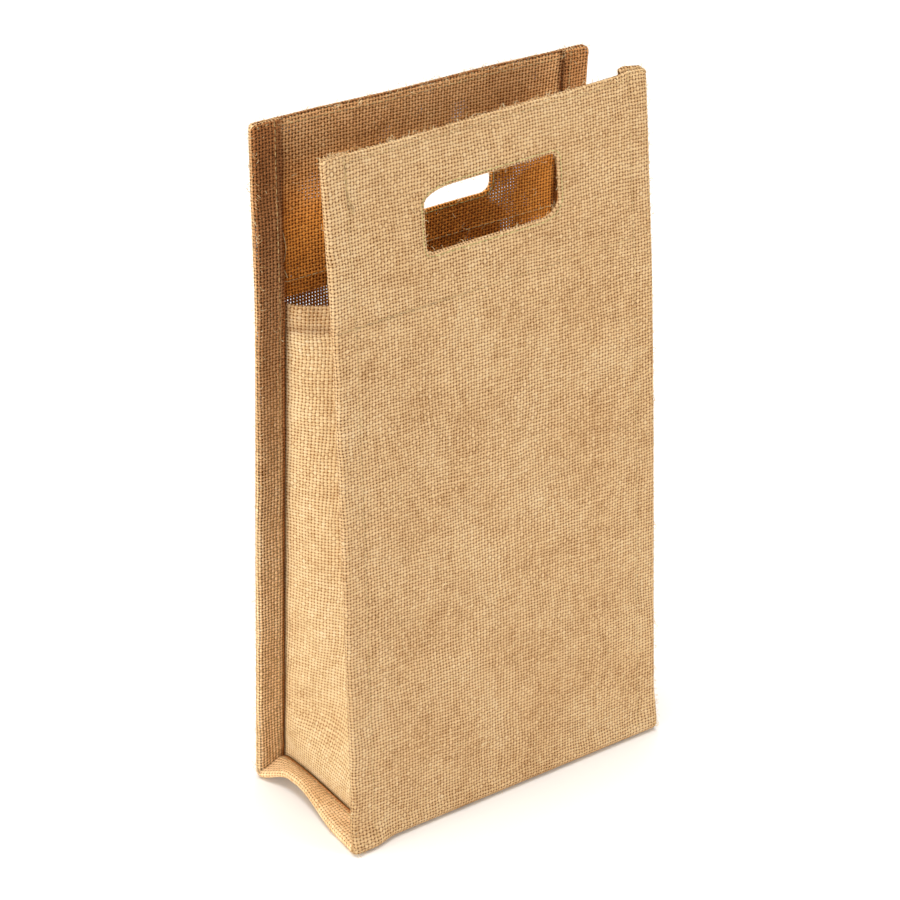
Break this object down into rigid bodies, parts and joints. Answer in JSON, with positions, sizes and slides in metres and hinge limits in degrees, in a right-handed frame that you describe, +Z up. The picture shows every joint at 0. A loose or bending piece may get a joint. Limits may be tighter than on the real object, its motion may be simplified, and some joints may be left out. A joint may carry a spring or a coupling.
{
  "type": "gift bag",
  "caption": "Tall gusseted gift bag in natural jute hessian, with folded side seams and a rectangular hand hole in each long wall.",
  "frame": {"origin": "middle of the base, on the surface the bag stands on", "axes": "+Z up, +X to the right along the long walls, -Y the front wall"},
  "size_m": [0.19, 0.0904, 0.3595],
  "materials": {
    "jute_strip": "matte",
    "jute_gusset": "matte",
    "jute_inside": "matte",
    "jute_fold": "matte",
    "seam_thread": "matte",
    "hand_hole_thread": "matte"
  },
  "bodies": {
    "shell": {"front_panel": "jute_strip", "back_panel": "jute_strip", "base_panel": "jute_strip", "left_gusset": "jute_gusset", "right_gusset": "jute_gusset", "left_gusset_hem": "jute_gusset", "right_gusset_hem": "jute_gusset", "front_left_fold": "jute_fold", "front_right_fold": "jute_fold", "back_left_fold": "jute_fold", "back_right_fold": "jute_fold", "base_left_fold": "jute_fold", "base_right_fold": "jute_fold", "front_left_thread": "seam_thread", "front_right_thread": "seam_thread", "back_left_thread": "seam_thread", "back_right_thread": "seam_thread", "base_left_thread": "seam_thread", "base_right_thread": "seam_thread", "left_hem_thread": "seam_thread", "right_hem_thread": "seam_thread"},
    "front_flap": {"front_flap": "jute_strip", "front_facing": "jute_inside", "front_flap_left_fold": "jute_fold", "front_flap_right_fold": "jute_fold", "front_flap_left_thread": "seam_thread", "front_flap_right_thread": "seam_thread", "front_top_thread": "seam_thread", "front_hand_thread": "hand_hole_thread", "front_facing_thread": "seam_thread"},
    "back_flap": {"back_flap": "jute_strip", "back_facing": "jute_inside", "back_flap_left_fold": "jute_fold", "back_flap_right_fold": "jute_fold", "back_flap_left_thread": "seam_thread", "back_flap_right_thread": "seam_thread", "back_top_thread": "seam_thread", "back_hand_thread": "hand_hole_thread", "back_facing_thread": "seam_thread"}
  },
  "joints": [
    {"name": "front_flap_bend", "type": "hinge", "parent": "shell", "child": "front_flap", "pos_m": [0, -0.03037, 0.2676], "axis": [1, 0, 0], "range_deg": [-13.5, 75], "stiffness_Nm_per_rad": 0.05},
    {"name": "back_flap_bend", "type": "hinge", "parent": "shell", "child": "back_flap", "pos_m": [0, 0.03037, 0.2676], "axis": [-1, 0, 0], "range_deg": [-13.5, 75], "stiffness_Nm_per_rad": 0.05}
  ]
}
